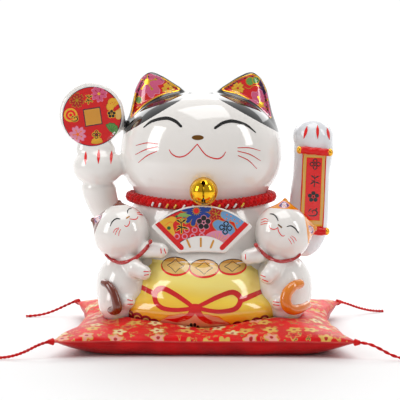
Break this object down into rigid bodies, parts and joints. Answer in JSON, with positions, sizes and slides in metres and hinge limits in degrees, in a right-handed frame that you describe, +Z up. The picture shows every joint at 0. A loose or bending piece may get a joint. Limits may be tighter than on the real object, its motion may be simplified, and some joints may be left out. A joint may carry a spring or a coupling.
{
  "type": "beckoning cat figurine",
  "caption": "Glazed ceramic beckoning cat with kittens, money bag, fan and bell collar, a battery-driven waving arm, and a square brocade cushion under it.",
  "frame": {"origin": "middle of the cushion's underside", "axes": "+Z up, the cat faces -Y, +X towards its waving arm"},
  "size_m": [0.3964, 0.3301, 0.2652],
  "materials": {
    "white_glaze": "gloss glaze",
    "yellow_glaze": "gloss glaze shaded pale to orange",
    "red_glaze": "painted print with gold, under gloss glaze",
    "braid": "braided red cord with white and yellow flecks",
    "gold_plate": "mirror gold plate",
    "arm_plastic": "gloss moulding",
    "red_plastic": "gloss, gold printed",
    "gold_plastic": "metallic gold lacquer",
    "frame_plastic": "fine matte moulding",
    "cover_plastic": "fine matte moulding",
    "black_plastic": "satin",
    "steel": "bright turned",
    "grey_rubber": "soft matte",
    "copper_wire": "enamelled copper wire",
    "board_green": "solder-masked laminate",
    "cell_wrap": "printed steel can, plain",
    "red_satin": "smooth satin weave",
    "red_brocade": "brocade with gold blossoms",
    "wadding": "polyester wadding"
  },
  "bodies": {
    "cushion": {"cushion_top_panel": "red_brocade", "cushion_bottom_panel": "red_satin", "cushion_filling": "wadding", "corner_knots": "red_satin", "tassel_front_left": "red_satin", "tassel_front_right": "red_satin", "tassel_back_left": "red_satin", "tassel_back_right": "red_satin"},
    "figure": {"cat_casting": "white_glaze", "money_bag": "yellow_glaze", "kitten_left": "white_glaze", "kitten_right": "white_glaze", "raised_arm": "white_glaze", "coin_plaque": "red_glaze", "fan_plaque": "red_glaze", "collar_cord": "braid", "shaft_grommet": "grey_rubber", "drive_frame": "frame_plastic", "shaft_bushes": "black_plastic", "coil_bobbin": "black_plastic", "coil_winding": "copper_wire", "circuit_board": "board_green", "circuit_components": "black_plastic", "cover_gasket": "grey_rubber", "back_cover": "cover_plastic", "battery_cells": "cell_wrap", "battery_springs": "steel", "switch_body": "black_plastic", "power_jack": "black_plastic", "cover_screws": "steel", "clamp_bars": "frame_plastic"},
    "arm": {"arm_shell_front": "arm_plastic", "arm_shell_rear": "arm_plastic", "arm_hub": "frame_plastic", "scroll_panel": "red_plastic", "scroll_rods": "red_plastic", "scroll_knobs": "gold_plastic", "swing_shaft": "steel", "retaining_ring": "steel", "swing_lever": "frame_plastic", "swing_weight": "steel", "swing_magnet": "steel"},
    "bell": {"bell_front": "gold_plate", "bell_rear": "gold_plate", "bell_loop": "gold_plate"},
    "pellet": {"bell_pellet": "steel"},
    "door": {"battery_door": "cover_plastic"},
    "switch": {"switch_slider": "black_plastic"}
  },
  "joints": [
    {"name": "cat_lift", "type": "slide", "parent": "cushion", "child": "figure", "axis": [0, 0, 1], "range_m": [0, 0.06]},
    {"name": "arm_swing", "type": "hinge", "parent": "figure", "child": "arm", "pos_m": [-0.005, 0, 0.104], "axis": [1, 0, 0], "range_deg": [-15, 18]},
    {"name": "bell_turn", "type": "hinge", "parent": "figure", "child": "bell", "pos_m": [-0.0013, -0.0572, 0.139], "axis": [0, 0, 1], "range_deg": [-8, 8]},
    {"name": "pellet_roll", "type": "hinge", "parent": "bell", "child": "pellet", "pos_m": [-0.0013, -0.0712, 0.1508], "axis": [0, 1, 0], "continuous": true},
    {"name": "door_swing", "type": "hinge", "parent": "figure", "child": "door", "pos_m": [-0.005, 0.06805, 0.0784], "axis": [1, 0, 0], "range_deg": [0, 95]},
    {"name": "switch_travel", "type": "slide", "parent": "figure", "child": "switch", "axis": [1, 0, 0], "range_m": [0, 0.004]}
  ]
}
